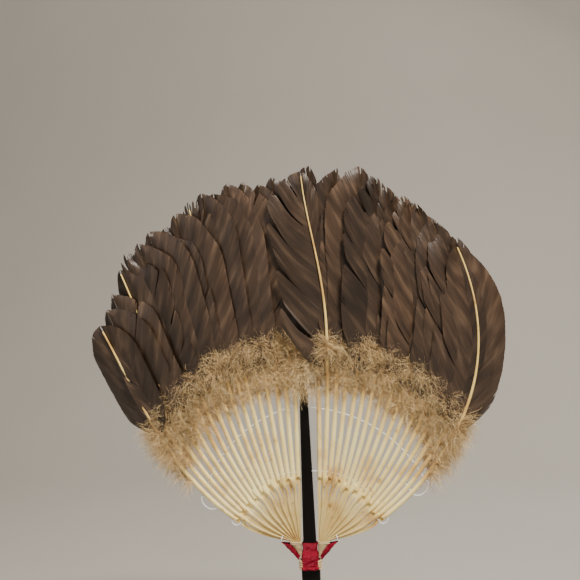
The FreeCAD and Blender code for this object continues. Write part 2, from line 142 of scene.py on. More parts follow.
def shaft_frame(bank, k, distance):
    """Points, directions along and across (away from the stick), and the feather's front normal."""
    distance = np.asarray(distance, float)
    points = shaft_points(bank, k, distance)
    along = unit(shaft_points(bank, k, distance + 0.5) - shaft_points(bank, k, distance - 0.5))
    across = unit(np.cross(along, Y_AXIS)) * -BANKS[bank]["sign"]
    across *= np.sign(across[..., :1] * BANKS[bank]["sign"] + 1e-9)
    front = unit(np.cross(along, across))
    front *= -np.sign(front[..., 1:2])
    return points, along, across, front


# ---- Making pieces ----


def smooth_noise(x, y, seed):
    """Smooth noise from -1 to 1 at (x, y), one unit to a bump."""
    rng = np.random.default_rng(seed)
    table = rng.uniform(-1, 1, (64, 64))
    x, y = np.broadcast_arrays(np.asarray(x, float), np.asarray(y, float))
    ix, iy = np.floor(x).astype(int), np.floor(y).astype(int)
    fx, fy = x - ix, y - iy
    fx, fy = fx * fx * (3 - 2 * fx), fy * fy * (3 - 2 * fy)
    a, b = table[ix % 64, iy % 64], table[(ix + 1) % 64, iy % 64]
    c, d = table[ix % 64, (iy + 1) % 64], table[(ix + 1) % 64, (iy + 1) % 64]
    return (a * (1 - fx) + b * fx) * (1 - fy) + (c * (1 - fx) + d * fx) * fy


def make_piece(name, points, faces, slot, uv=None, tint=None):
    """A mesh object from points in millimetres, riding on the fan, with its slot's material."""
    mesh = bpy.data.meshes.new(name)
    faces = faces if isinstance(faces, list) else faces.tolist()
    mesh.from_pydata((points * MM).tolist(), [], faces)
    mesh.shade_smooth()
    if uv is not None:
        layer = mesh.uv_layers.new(name="barbs")
        corner = np.zeros(len(mesh.loops), np.int32)
        mesh.loops.foreach_get("vertex_index", corner)
        layer.data.foreach_set("uv", np.asarray(uv, np.float32)[corner].ravel())
    if tint is not None:
        field = mesh.attributes.new("tint", "FLOAT", "POINT")
        field.data.foreach_set("value", np.asarray(tint, np.float32).ravel())
    mesh.materials.append(MATERIALS[slot])
    piece = bpy.data.objects.new(name, mesh)
    bpy.context.scene.collection.objects.link(piece)
    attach(piece, BODY)
    return piece


# ---- Materials ----


class Shading:
    """A node material with short calls for its common nodes."""

    def __init__(self, name):
        self.material = bpy.data.materials.new(name)
        self.material.use_nodes = True
        self.tree = self.material.node_tree
        self.shader = self.tree.nodes["Principled BSDF"]
        self.place = self.node("ShaderNodeTexCoord").outputs["Object"]

    def node(self, kind, **settings):
        made = self.tree.nodes.new(kind)
        for key, value in settings.items():
            setattr(made, key, value)
        return made

    def link(self, output, target):
        self.tree.links.new(output, target)

    def stretched(self, scale, source=None):
        """Coordinates multiplied by scale along each axis."""
        mapping = self.node("ShaderNodeMapping")
        mapping.inputs["Scale"].default_value = scale
        self.link(source or self.place, mapping.inputs["Vector"])
        return mapping.outputs["Vector"]

    def noise(self, scale, detail=4.0, roughness=0.55, where=None):
        made = self.node("ShaderNodeTexNoise")
        made.inputs["Scale"].default_value = scale
        made.inputs["Detail"].default_value = detail
        made.inputs["Roughness"].default_value = roughness
        self.link(where or self.place, made.inputs["Vector"])
        return made.outputs["Fac"]

    def ramp(self, source, stops):
        """A colour ramp with stops of (place, colour)."""
        made = self.node("ShaderNodeValToRGB")
        elements = made.color_ramp.elements
        while len(elements) < len(stops):
            elements.new(0.5)
        for element, (place, colour) in zip(elements, stops):
            element.position = place
            element.color = (*colour, 1.0)
        self.link(source, made.inputs["Fac"])
        return made.outputs["Color"]

    def mix(self, factor, a, b, blend="MIX"):
        """A colour mix. Each of factor, a and b is an output, a number or a colour."""
        made = self.node("ShaderNodeMix", data_type="RGBA", blend_type=blend)
        sockets = (made.inputs[0], made.inputs[6], made.inputs[7])
        for socket, value in zip(sockets, (factor, a, b)):
            if isinstance(value, bpy.types.NodeSocket):
                self.link(value, socket)
            else:
                socket.default_value = (*value, 1.0) if isinstance(value, tuple) else value
        return made.outputs[2]

    def math(self, operation, a, b=0.0):
        made = self.node("ShaderNodeMath", operation=operation)
        for socket, value in zip(made.inputs, (a, b)):
            if isinstance(value, bpy.types.NodeSocket):
                self.link(value, socket)
            else:
                socket.default_value = value
        return made.outputs["Value"]

    def attribute(self, name):
        return self.node("ShaderNodeAttribute", attribute_name=name).outputs["Fac"]

    def finish(self, colour, roughness, bump=None, strength=0.3, depth=0.0003, **constants):
        """Sets the shader's sockets. roughness is a number or an output."""
        self.link(colour, self.shader.inputs["Base Color"])
        if isinstance(roughness, bpy.types.NodeSocket):
            self.link(roughness, self.shader.inputs["Roughness"])
        else:
            self.shader.inputs["Roughness"].default_value = roughness
        if bump is not None:
            made = self.node("ShaderNodeBump")
            made.inputs["Strength"].default_value = strength
            made.inputs["Distance"].default_value = depth
            self.link(bump, made.inputs["Height"])
            self.link(made.outputs["Normal"], self.shader.inputs["Normal"])
        for key, value in constants.items():
            self.shader.inputs[key.replace("_", " ")].default_value = value
        return self.material


def grey(value):
    return (value, value, value)


def web_material():
    """Brown barbs hooked together: fine lines along each barb over slow changes of brown."""
    s = Shading("feather_web")
    uv = s.node("ShaderNodeUVMap", uv_map="barbs").outputs["UV"]
    lines = s.noise(1.0, 2.0, 0.6, s.stretched((1.6, 0.35, 1.0), uv))
    bands = s.noise(1.0, 2.0, 0.5, s.stretched((0.10, 0.30, 1.0), uv))
    blotches = s.noise(22.0, 3.0, 0.55)
    colour = s.ramp(bands, [(0.25, (0.016, 0.008, 0.004)), (0.52, (0.046, 0.026, 0.015)),
                            (0.80, (0.122, 0.077, 0.047))])
    fine = s.ramp(lines, [(0.30, grey(0.66)), (0.55, grey(1.0)), (0.75, grey(1.28))])
    colour = s.mix(1.0, colour, fine, "MULTIPLY")
    patch = s.ramp(blotches, [(0.35, grey(0.80)), (0.65, grey(1.12))])
    colour = s.mix(1.0, colour, patch, "MULTIPLY")
    tinted = s.ramp(s.attribute("tint"), [(0.0, (0.50, 0.46, 0.44)), (0.5, grey(1.0)),
                                          (1.0, (1.55, 1.52, 1.46))])
    colour = s.mix(1.0, colour, tinted, "MULTIPLY")
    rough = s.ramp(lines, [(0.3, grey(0.50)), (0.7, grey(0.36))])
    return s.finish(colour, rough, lines, 0.45, 0.0003, Specular_IOR_Level=0.5)


def down_material():
    s = Shading("down")
    colour = s.ramp(s.attribute("tint"), [(0.0, (0.30, 0.18, 0.07)), (0.45, (0.58, 0.39, 0.16)),
                                          (1.0, (0.86, 0.68, 0.38))])
    patch = s.ramp(s.noise(60.0, 2.0), [(0.3, grey(0.8)), (0.7, grey(1.15))])
    colour = s.mix(1.0, colour, patch, "MULTIPLY")
    return s.finish(colour, 0.75, None, Sheen_Weight=0.4, Sheen_Roughness=0.5)


def quill_material(name, pale_tip):
    """Bare keratin: dull tan tongues, darker and greyer towards their foot as painted shade, cream
    barrels with tan patches and fine rings, and a shaft that stays cream to its tip or darkens to
    brown."""
    s = Shading(name)
    offset = s.node("ShaderNodeVectorMath", operation="SUBTRACT")
    offset.inputs[1].default_value = (0.0, 0.0, FAN_Z * MM)
    s.link(s.place, offset.inputs[0])
    length = s.node("ShaderNodeVectorMath", operation="LENGTH")
    s.link(offset.outputs["Vector"], length.inputs[0])
    away = length.outputs["Value"]
    fleck = s.noise(110.0, 5.0, 0.65)
    patches = s.noise(30.0, 3.0, 0.5)
    colour = s.ramp(patches, [(0.34, (0.66, 0.42, 0.14)), (0.47, (0.92, 0.71, 0.27)),
                              (0.68, (0.97, 0.83, 0.39))])
    worn = s.ramp(fleck, [(0.30, (0.60, 0.48, 0.34)), (0.42, grey(1.0)), (1.0, grey(1.05))])
    colour = s.mix(1.0, colour, worn, "MULTIPLY")
    reach = s.math("ADD", away, s.math("MULTIPLY", s.math("SUBTRACT", patches, 0.5), 0.03))
    # A ramp's 0 to 1 is 0.4 m, measured out from the fan's centre
    # Darker and greyer towards the quills' feet, up to about 68 mm out: painted shade on the tongue
    # flats
    foot = s.ramp(s.math("MULTIPLY", reach, 2.5), [(0.10, (0.66, 0.62, 0.58)),
                                                   (0.155, (0.76, 0.73, 0.70)), (0.17, grey(1.0)),
                                                   (0.30, grey(1.0)), (0.40, (0.93, 0.84, 0.72))])
    colour = s.mix(1.0, colour, foot, "MULTIPLY")
    if not pale_tip:
        tip = s.ramp(s.math("MULTIPLY", reach, 2.5), [(0.42, grey(1.0)), (0.50, (0.50, 0.42, 0.40)),
                                                      (0.60, (0.17, 0.15, 0.16))])
        colour = s.mix(1.0, colour, tip, "MULTIPLY")
    rough = s.ramp(fleck, [(0.3, grey(0.55)), (0.7, grey(0.36))])
    return s.finish(colour, rough, fleck, 0.25, 0.0002, Specular_IOR_Level=0.5,
                    Subsurface_Weight=0.1, Subsurface_Scale=0.002)


def lacquer_material():
    s = Shading("black_lacquer")
    grain = s.noise(1.0, 6.0, 0.6, s.stretched((420.0, 420.0, 18.0)))
    wear = s.noise(60.0, 5.0, 0.6)
    colour = s.ramp(grain, [(0.3, (0.0012, 0.001, 0.001)), (0.7, (0.004, 0.003, 0.0025))])
    rubbed = s.ramp(wear, [(0.60, (0.0, 0.0, 0.0)), (0.80, (0.012, 0.008, 0.005))])
    colour = s.mix(1.0, colour, rubbed, "ADD")
    rough = s.ramp(wear, [(0.3, grey(0.30)), (0.75, grey(0.5))])
    return s.finish(colour, rough, grain, 0.12, 0.0002, Specular_IOR_Level=0.15)


def fibre_material(name, dark, light, pitch, rough=0.8, sheen=0.3):
    """Twisted or woven fibre: a fine diagonal twist over a slow change of colour."""
    s = Shading(name)
    twist = s.node("ShaderNodeTexWave", wave_type="BANDS", bands_direction="DIAGONAL")
    twist.inputs["Scale"].default_value = pitch
    twist.inputs["Distortion"].default_value = 1.5
    twist.inputs["Detail"].default_value = 2.0
    s.link(s.place, twist.inputs["Vector"])
    slow = s.noise(120.0, 3.0)
    colour = s.mix(slow, dark, light)
    shade = s.ramp(twist.outputs["Fac"], [(0.0, grey(0.72)), (0.6, grey(1.0))])
    colour = s.mix(1.0, colour, shade, "MULTIPLY")
    return s.finish(colour, rough, twist.outputs["Fac"], 0.5, 0.0003,
                    Sheen_Weight=sheen, Sheen_Roughness=0.5, Specular_IOR_Level=0.2)


# By slot, with one more for the shafts that stay cream
MATERIALS = {
    "quill": quill_material("quill_keratin", False),
    "pale_quill": quill_material("pale_quill_keratin", True),
    "lacquered_wood": lacquer_material(),
    "feather_web": web_material(),
    "down": down_material(),
    "collar_thread": fibre_material("collar_thread", (0.50, 0.34, 0.16), (0.84, 0.66, 0.40), 900.0),
    "lacing_line": fibre_material("lacing_line", (0.84, 0.84, 0.83), (0.97, 0.97, 0.95), 700.0,
                                  0.35, 0.0),
    "binding_cord": fibre_material("binding_cord", (0.50, 0.32, 0.15), (0.84, 0.62, 0.34), 800.0),
    "tan_cloth": fibre_material("tan_cloth", (0.34, 0.22, 0.10), (0.66, 0.50, 0.28), 1500.0),
    "red_cloth": fibre_material("red_cloth", (0.14, 0.0, 0.010), (0.38, 0.0, 0.028), 2200.0,
                                0.6, 0.0),
}

# The feathers whose shafts stay cream to the tip
PALE_SHAFTS = ["left_quill_17", "left_quill_14", "left_quill_08",
               "right_quill_17", "right_quill_02", "right_quill_06"]

# ---- The webs ----

WEB_FROM = 168.0                 # the webs' base, from the bank's centre
SHAFT_SHORT = 7.0                # the last barb's root, short of the shaft's end
BARB_PITCH = 0.85
BARB_POINTS = 11
BARB_SWEEP = 0.28                # the share of its angle that a barb loses along its length
BEND_FROM, BEND_SPAN = 0.15, 0.85  # the share of a barb that swings with its lobe
BARB_ROOT = 0.7                  # how far out in the shaft a barb starts, as a share of its radius
SHAFT_COVER = 0.5                # how far barbs stand before a hidden shaft
STRAND_ROWS = (2, 7)             # barbs that stay together where an edge frays
TIP_FROM, TIP_SPAN = 0.72, 0.28  # where a web narrows to its rounded tip
TIP_OVERHANG = 5.0
WEB_TILT = math.radians(17.0)
ANGLE_PLACES = (0.0, 0.33, 0.66, 0.88, 1.0)
TRAILING = {"side": -1, "angles": (52, 42, 34, 26, 5)}
LEADING = {"side": 1, "angles": (40, 31, 26, 19, 4)}
TRAILING_WIDTH, LEADING_WIDTH = 26.0, 12.0
OUTER_LEADING_WIDTH = 21.0
FRONT_WIDTHS, FRONT_TILT = (40.0, 18.0), math.radians(7.0)
FORKED_TIPS = (("left", 7), ("right", 5))

# How whole a web is: the rows of barbs in a lobe and in one near the tip, how far lobes lean apart
# in degrees, how many deep splits, how barbs gather in a lobe, then its evenness, curl and fraying
PLAIN = {"lobe_rows": (80, 190), "tip_rows": (26, 70), "lean": 1.1, "splits": 1, "gather": 6.0,
         "uneven": 0.07, "curl": 1.1, "edge_curl": 1.0, "fray": 0.12, "roll": 1.2, "sway": 3.0}
WORN = {"lobe_rows": (40, 120), "tip_rows": (14, 44), "lean": 1.6, "splits": 2, "gather": 8.0,
        "uneven": 0.12, "curl": 1.5, "edge_curl": 2.2, "fray": 0.22, "roll": 1.7, "sway": 5.0}
TORN = {"lobe_rows": (24, 80), "tip_rows": (9, 30), "lean": 2.2, "splits": 4, "gather": 10.0,
        "uneven": 0.18, "curl": 1.9, "edge_curl": 3.0, "fray": 0.32, "roll": 2.2, "sway": 7.0}
FORKED = {"lobe_rows": (40, 110), "tip_rows": (7, 13), "lean": 2.6, "splits": 2, "gather": 10.0,
          "uneven": 0.16, "curl": 1.5, "edge_curl": 2.0, "fray": 0.3, "roll": 2.0, "sway": 7.0}
FOREMOST = {"lobe_rows": (24, 56), "tip_rows": (12, 34), "lean": 1.6, "splits": 6, "gather": 13.0,
            "uneven": 0.10, "curl": 1.6, "edge_curl": 4.5, "fray": 0.25, "roll": 4.5, "sway": 13.0}


def lobes(rows, rng, sizes, near_tip=None):
    """Splits the rows of barbs into lobes. Returns each row's lobe and its place, 0 to 1, in it."""
    number, place = np.zeros(rows, int), np.zeros(rows)
    at = count = 0
    while at < rows:
        low, high = near_tip if near_tip and at > 0.7 * rows else sizes
        size = int(rng.integers(low, high))
        if rows - at - size < low:
            size = rows - at
        number[at : at + size] = count
        place[at : at + size] = (np.arange(size) + 0.5) / size
        at += size
        count += 1
    return number, place


def web_outline(u):
    """A web's share of its full width, from its base, 0, to the feather's rounded tip, 1."""
    rise = 0.45 + 0.55 * ease(u, 0.0, 0.3)
    return rise * np.sqrt(np.maximum(0.0, 1 - np.maximum(0.0, (u - TIP_FROM) / TIP_SPAN) ** 2.2))


def lengths_to_outline(start, angle, width, end):
    """How far each barb must run to meet the web's outline."""
    tries = np.linspace(1.5, 95.0, 188)
    reach = start[:, None] + tries * np.cos(angle)[:, None]
    edge = width * web_outline((reach - WEB_FROM) / (end - WEB_FROM))
    inside = tries * np.sin(angle)[:, None] < edge
    return tries[np.minimum(inside.sum(1), len(tries) - 1)]


class Web:
    """One web of a feather: a sheet of barbs that part into lobes.

    u is 0 at the web's base and 1 at the shaft's end, and has a row for each barb. v is 0 at a
    barb's root and 1 at its end. The draws' order is part of the shape."""

    def __init__(self, bank, k, kind, tilt, seed):
        self.bank, self.k, self.kind, self.tilt, self.seed = bank, k, kind, tilt, seed
        self.style = web_style(bank, k)
        self.rng = np.random.default_rng(seed)
        self.end = tip_distance(bank, k) - SHAFT_SHORT
        self.rows = int((self.end - WEB_FROM) / BARB_PITCH)
        self.u = np.linspace(0.0, 1.0, self.rows)
        self.v = np.linspace(0.0, 1.0, BARB_POINTS)
        self.start = WEB_FROM + (self.end - WEB_FROM) * self.u
        self.angle = np.radians(np.interp(self.u, ANGLE_PLACES, kind["angles"]))
        self.bend = np.clip((self.v - BEND_FROM) / BEND_SPAN, 0, 1) ** 1.4
        self.part()

    def part(self):
        """Parts the barbs into lobes that lean their own ways, with a slit after each."""
        rng, style = self.rng, self.style
        self.group, self.inside = lobes(self.rows, rng, style["lobe_rows"], style["tip_rows"])
        self.count = self.group[-1] + 1
        near_tip = np.bincount(self.group, self.u) / np.bincount(self.group) > TIP_FROM
        lean = np.radians(rng.normal(0, style["lean"], self.count) * np.where(near_tip, 2.6, 1.0))
        deep, shallow = rng.uniform(0.25, 0.8, self.count), rng.uniform(0.6, 0.98, self.count)
        self.slit = np.where(near_tip, deep, shallow)
        splits = min(self.count - 1, style["splits"])
        for split in rng.choice(np.arange(1, self.count), splits, replace=False):
            lean[:split] += math.radians(rng.uniform(1.5, 4.5))
            self.slit[split] = rng.uniform(0.1, 0.4)
        lean -= lean.mean()
        lean[-1] = -0.5 * abs(lean[-1])
        gather = np.radians(rng.uniform(0.5, style["gather"], self.count))
        self.swing = lean[self.group] + gather[self.group] * (self.inside - 0.5)
        self.strand, _ = lobes(self.rows, rng, STRAND_ROWS)

    def lengths(self, width):
        """Each barb's length: out to the outline, less at a lobe's edges, and a little uneven."""
        rng, group, count = self.rng, self.group, self.count
        overhang = TIP_OVERHANG + 3.0 * wobble(self.k, 41 + BANKS[self.bank]["salt"])
        angle = self.angle * (1 - 0.5 * BARB_SWEEP)
        length = lengths_to_outline(self.start, angle, width, self.end + overhang)
        scallop = 1 - 0.13 * np.abs(2 * self.inside - 1) ** 4 * rng.uniform(0.2, 1.0, count)[group]
        slow = 0.04 * smooth_noise(self.u * 5, self.seed, self.seed)
        length *= scallop * (1 + slow + 0.010 * rng.uniform(-1, 1, self.rows))
        uneven = self.style["uneven"] * (0.5 + ease(self.u, 0.5, 0.9))
        return length * (1 - uneven * rng.uniform(0, 1, count)[group])

    def paths(self, length):
        """How far each barb's points lie out from the shaft, and how far along it."""
        slow = smooth_noise(self.u * 3, 23, self.seed + 5)
        quick = self.rng.uniform(-1, 1, self.count)[self.group]
        sway = np.radians(self.style["sway"]) * (0.6 * slow + 0.4 * quick)
        turn = self.angle[:, None] * (1 - BARB_SWEEP * self.v) + self.swing[:, None] * self.bend
        steep = np.minimum(1.0, self.angle / 0.4)[:, None]
        turn += sway[:, None] * np.sin(2 * math.pi * self.v) * steep
        step = length[:, None] / (BARB_POINTS - 1)
        root = np.zeros((self.rows, 1))
        out = np.hstack([root, np.cumsum(np.sin(turn) * step, 1)[:, :-1]])
        fore = np.hstack([root, np.cumsum(np.cos(turn) * step, 1)[:, :-1]])
        return out, fore

    def rises(self, out, fore):
        """How far each point stands before its shaft's middle."""
        rng, style, group, count = self.rng, self.style, self.group, self.count
        u, v, bend = self.u, self.v, self.bend
        rise = -self.kind["side"] * out * math.tan(self.tilt)
        wave = smooth_noise((self.start[:, None] + fore) / 46, out / 30 + 7, self.seed + 1)
        fold = smooth_noise(self.start / 13, 5, self.seed + 2)[:, None] * v
        loose = (0.5 + style["curl"] * ease(u, 0.5, 1.0))[:, None]
        rise += (1.1 * wave + 0.55 * fold) * loose * np.minimum(1.0, out / 8)
        rise += 1.4 * np.sin(math.pi * v) * np.minimum(1.0, out / 10)
        roll = (self.inside - 0.5) * rng.normal(0.6, 1.0, count)[group] * style["roll"]
        rise += roll[:, None] * bend
        rise += rng.normal(0, 0.35, count)[group][:, None] * bend
        tip_curl = rng.normal(-0.4, 1.9, count)[group] * ease(u, 0.62, 0.9) * style["curl"]
        rise += tip_curl[:, None] * v**2.5
        rise += 0.07 * np.where(np.arange(self.rows) % 2, 1, -1)[:, None] * np.minimum(1, v * 4)
        edge = 0.6 + 2.6 * smooth_noise(u * 3, 3, self.seed + 3)
        edge = edge + style["edge_curl"] * ease(u, 0.45, 0.95) + rng.normal(0, 1.0, count)[group]
        rise -= edge[:, None] * v**3
        hidden = f"{self.bank}_quill_{self.k + 1:02d}" not in PALE_SHAFTS
        radius = shaft_radius(self.start)
        cover = radius + SHAFT_COVER if hidden else -0.9 * radius - 0.4
        return rise + (cover * ease(u, 0.05, 0.2))[:, None]

    def points(self, width):
        points, along, across, front = shaft_frame(self.bank, self.k, self.start)
        out, fore = self.paths(self.lengths(width))
        rise = self.rises(out, fore)
        across = across * self.kind["side"]
        root = shaft_radius(self.start)[:, None] * BARB_ROOT
        grid = (
            points[:, None]
            + across[:, None] * (root + out)[..., None]
            + along[:, None] * fore[..., None]
            + front[:, None] * rise[..., None]
        )
        return grid.reshape(-1, 3)

    def faces(self):
        """Faces from each barb to the next, up to where a slit or a fray opens."""
        index = np.arange(self.rows * BARB_POINTS).reshape(self.rows, BARB_POINTS)
        quads = np.stack([index[:-1, :-1], index[1:, :-1], index[1:, 1:], index[:-1, 1:]], -1)
        open_from = np.full(self.rows - 1, 2.0)
        parted = self.group[1:] != self.group[:-1]
        open_from[parted] = self.slit[self.group[1:]][parted]
        chance = self.rng.uniform(size=self.rows - 1)
        frayed = (self.strand[1:] != self.strand[:-1]) & ~parted & (chance < self.style["fray"])
        open_from[frayed] = self.rng.uniform(0.82, 0.97, frayed.sum())
        return quads[self.v[None, :-1] < open_from[:, None]]

    def barb_coordinates(self):
        row = np.arange(self.rows)[:, None] * BARB_PITCH + 40.0 * self.k
        return np.stack(np.broadcast_arrays(row, self.v[None] * 4.0), -1).reshape(-1, 2)

    def tints(self):
        """Each point's place from dark to light."""
        rng, strand = self.rng, self.strand
        tint = 0.5 + 0.10 * smooth_noise(self.u * 4, 11, self.seed + 4)
        tint = tint + rng.normal(0, 0.04, self.count)[self.group]
        tint = tint + 0.02 * rng.normal(size=strand[-1] + 1)[strand]
        tint = tint[:, None] + 0.20 * (self.v[None] ** 4 - 0.2) + rng.normal(0, 0.12)
        return tint.reshape(-1)


VANE_GROUPS = [range(0, 4), range(4, 7), range(7, 10), range(10, 14), range(14, 17)]


def vane_node(bank, k):
    number = next(n for n, group in enumerate(VANE_GROUPS) if k in group)
    return f"{bank}_vanes_{number + 1}"


def web_style(bank, k):
    if (bank, k) == FRONT:
        return FOREMOST
    if (bank, k) in FORKED_TIPS:
        return FORKED
    wear = wobble(k, 37 + BANKS[bank]["salt"])
    if k == FEATHERS - 1 or wear <= -0.4:
        return PLAIN
    return TORN if wear > 0.35 else WORN


def web_widths(bank, k):
    """The widths of feather k's trailing and leading webs, and the angle at which they overlap."""
    if (bank, k) == FRONT:
        return FRONT_WIDTHS, FRONT_TILT
    salt = BANKS[bank]["salt"]
    out = ease(k, 0.0, 5.0)
    trailing = (TRAILING_WIDTH + 5.0 * out) * (1 + 0.22 * wobble(k, 31 + salt))
    leading = LEADING_WIDTH
    if k == FEATHERS - 1:
        leading = OUTER_LEADING_WIDTH
    elif bank == "right":
        leading += 9.0 * ease(k, 10.0, 15.0)
    tilt = WEB_TILT * (0.4 + 0.6 * out) + math.radians(3.5) * wobble(k, 33 + salt) * out
    return (trailing, leading), tilt


def feather_web(bank, k):
    """Both webs of one feather, as one piece."""
    salt = BANKS[bank]["salt"]
    # Each feather's tint shifts by its own tone; the front feather's goes up by 0.28 more, a painted
    # highlight that lightens its webs
    shade = 0.25 * wobble(k, 20 + salt) + 0.28 * ((bank, k) == FRONT)
    widths, tilt = web_widths(bank, k)
    points, faces, uvs, tints = [], [], [], []
    total = 0
    for n, kind in enumerate((TRAILING, LEADING)):
        web = Web(bank, k, kind, tilt, 1000 * salt + 20 * k + n)
        points.append(web.points(widths[n]))
        faces.append(web.faces() + total)
        uvs.append(web.barb_coordinates())
        tints.append(web.tints() + shade)
        total += len(points[-1])
    piece = make_piece(f"{bank}_web_{k + 1:02d}", np.vstack(points), np.vstack(faces),
                       "feather_web", np.vstack(uvs), np.concatenate(tints))
    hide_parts(vane_node(bank, k))


# ---- The down ----

DOWN_TUFTS = 72
OUTER_TUFTS = 50                 # the outermost feather's extra tufts
TUFT_STRANDS = 25
STRAND_POINTS = 8
STRAND_RADIUS = 0.14
DOWN_BACK = 8.0                  # behind this depth the down is pressed flatter against the webs
DOWN_LOW, DOWN_HIGH = 147.0, 199.0
MIDDLE_CURLS = 620


def strands(starts, directions, lengths, curls, rng):
    """Curling flat barbs from the starts: points, faces and each point's place, 0 to 1."""
    count = len(starts)
    t = np.linspace(0, 1, STRAND_POINTS)
    side = unit(np.cross(directions, unit(rng.normal(size=(count, 3)))))
    other = np.cross(directions, side)
    phase = rng.uniform(0, 2 * math.pi, count)[:, None]
    turns = rng.uniform(0.3, 1.2, count)[:, None]
    angle = phase + 2 * math.pi * turns * t
    grow = curls[:, None] * (t**0.8)
    droop = -0.25 * lengths[:, None] * t**2 * rng.uniform(0, 1, count)[:, None]
    line = (
        starts[:, None]
        + directions[:, None] * (lengths[:, None] * (t - 0.22 * t**3))[..., None]
        + side[:, None] * (grow * (np.cos(angle) - np.cos(phase)))[..., None]
        + other[:, None] * (grow * (np.sin(angle) - np.sin(phase)))[..., None]
    )
    line[..., 2] += droop
    past = np.maximum(0.0, line[..., 1] - DOWN_BACK)
    line[..., 1] -= past - DOWN_BACK * (1 - np.exp(-past / DOWN_BACK))
    tangent = unit(np.gradient(line, axis=1))
    a = unit(np.cross(tangent, side[:, None] + 0.01))
    thin = (STRAND_RADIUS * (1 - 0.75 * t**1.5))[None, :, None]
    points = np.stack([line - a * thin, line + a * thin], 2)
    index = np.arange(count * STRAND_POINTS * 2).reshape(count, STRAND_POINTS, 2)
    quads = np.stack([index[:, :-1, 0], index[:, :-1, 1], index[:, 1:, 1], index[:, 1:, 0]], -1)
    place = np.broadcast_to(t[None, :, None], (count, STRAND_POINTS, 2))
    return points.reshape(-1, 3), quads.reshape(-1, 4), place.reshape(-1)


def down_tuft(bank, k):
    """The downy barbs at the foot of one feather's webs."""
    rng = np.random.default_rng(7000 * BANKS[bank]["salt"] + k)
    share = k / (FEATHERS - 1)
    outer = k == FEATHERS - 1
    low = DOWN_LOW - 27.0 * share**4
    high = DOWN_HIGH - 18.0 * share**3
    tufts = DOWN_TUFTS + OUTER_TUFTS * outer
    count = tufts * TUFT_STRANDS
    distance = low + (high - low) * rng.beta(1.5, 1.1, tufts)
    side = rng.choice([-1.0, 1.0], tufts)
    if outer:
        side = np.where(rng.uniform(size=tufts) < 0.75, 1.0, -1.0)
    side *= rng.uniform(0.2, 1.0, tufts)
    rise, depth = rng.uniform(-0.7, 1.0, tufts), rng.normal(0.05, 0.28, tufts)
    bend = rng.uniform(1.0, 4.2, tufts)
    each_tuft = (distance, side, rise, depth, bend)
    distance, side, rise, depth, bend = (np.repeat(a, TUFT_STRANDS) for a in each_tuft)
    distance = distance + rng.normal(0, 1.3, count)
    points, along, across, front = shaft_frame(bank, k, distance)
    if (bank, k) == FRONT:
        points[:, 1] *= 0.3 + 0.7 * ease(distance, 162, 176)
    on_webs = ease(distance, 178, 194)
    before = rng.uniform(1.0, 5.5, count) * on_webs
    behind = np.repeat(np.where(rng.uniform(size=tufts) < 0.85, -2.8, 2.0), TUFT_STRANDS)
    points += front * (before + behind * (1 - on_webs))[:, None]
    directions = across * side[:, None] + along * rise[:, None] + front * depth[:, None]
    directions = unit(directions + rng.normal(0, 0.22, (count, 3)))
    lengths = rng.uniform(7, 24, count) * (1 + 0.25 * outer)
    curls = bend * rng.uniform(0.7, 1.3, count)
    p, f, place = strands(points, directions, lengths, curls, rng)
    shade = np.repeat(rng.normal(0, 0.17, count) - 0.002 * (distance - 170), STRAND_POINTS * 2)
    tint = 0.45 + 0.35 * (place - 0.4) + shade
    piece = make_piece(f"{bank}_down_{k + 1:02d}", p, f, "down", tint=tint)
    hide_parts(f"{bank}_down")


def middle_curls():
    """Longer pale curls that hang over the stick's tip between the banks."""
    rng = np.random.default_rng(99)
    count = MIDDLE_CURLS
    x = rng.uniform(-11, 12, count)
    z = FAN_Z + rng.uniform(146, 182, count)
    starts = np.stack([x, rng.uniform(-8.0, -3.5, count), z], -1)
    directions = unit(rng.normal(size=(count, 3)) * (0.8, 0.45, 0.5) + (0, 0, -0.7))
    lengths, curls = rng.uniform(9, 22, count), rng.uniform(1.8, 4.2, count)
    p, f, place = strands(starts, directions, lengths, curls, rng)
    tint = 0.66 + 0.3 * (place - 0.4) + np.repeat(rng.normal(0, 0.16, count), STRAND_POINTS * 2)
    make_piece("middle_down", p, f, "down", tint=tint)


# ---- The cloth at the neck ----

NECK_ARC = 1.45                  # how far round the neck a cover goes each way, in radians
COVER_PLACES, COVER_DEPTHS = (0.0, 0.12, 0.38, 0.55, 1.0), (4.1, 4.6, 5.0, 7.3, 7.5)
COVER_WIDTH_PLACES, COVER_HALF_WIDTHS = (0.0, 0.3, 0.55, 1.0), (7.3, 7.0, 8.0, 8.2)
HEM_HALF_WIDTH = 8.6
GUSSET = [(26.5, 5.4), (17.8, 3.8), (9.0, -7.0), (11.0, -12.0)]
GUSSET_RIM = 0.42                # the share of the gusset's length that its top edge takes
GUSSET_DEPTH = 3.6
CUP_NEAR, CUP_OUTER = 7.7, 17.5
CUP_TOP, CUP_HEIGHT = 3.1, 12.3


def once_round(count):
    return np.linspace(0, 2 * math.pi, count, endpoint=False)


def grid_faces(rows, columns, closed):
    index = np.arange(rows * columns).reshape(rows, columns)
    if closed:
        index = np.concatenate([index, index[:, :1]], 1)
    return np.stack([index[:-1, :-1], index[:-1, 1:], index[1:, 1:], index[1:, :-1]], -1).reshape(-1, 4)


def cloth_piece(name, grid, slot_name, node, closed=False):
    """A cloth from its grid of points, in place of a node of the design."""
    piece = make_piece(name, grid.reshape(-1, 3), grid_faces(*grid.shape[:2], closed), slot_name)
    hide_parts(node)
    loop = np.concatenate([grid, grid[:, :1]], 1) if closed else grid
    width = np.linalg.norm(np.diff(loop, axis=1), axis=2).sum(1)
    length = np.linalg.norm(np.diff(loop, axis=0), axis=2).sum(0)
    flat = (float(width.max()) * MM, float(length.max()) * MM)
    one, two = loop[1:, 1:] - loop[:-1, :-1], loop[1:, :-1] - loop[:-1, 1:]
    area = float(np.linalg.norm(np.cross(one, two), axis=2).sum() / 2) * MM * MM
    area = min(area, flat[0] * flat[1])
    return piece


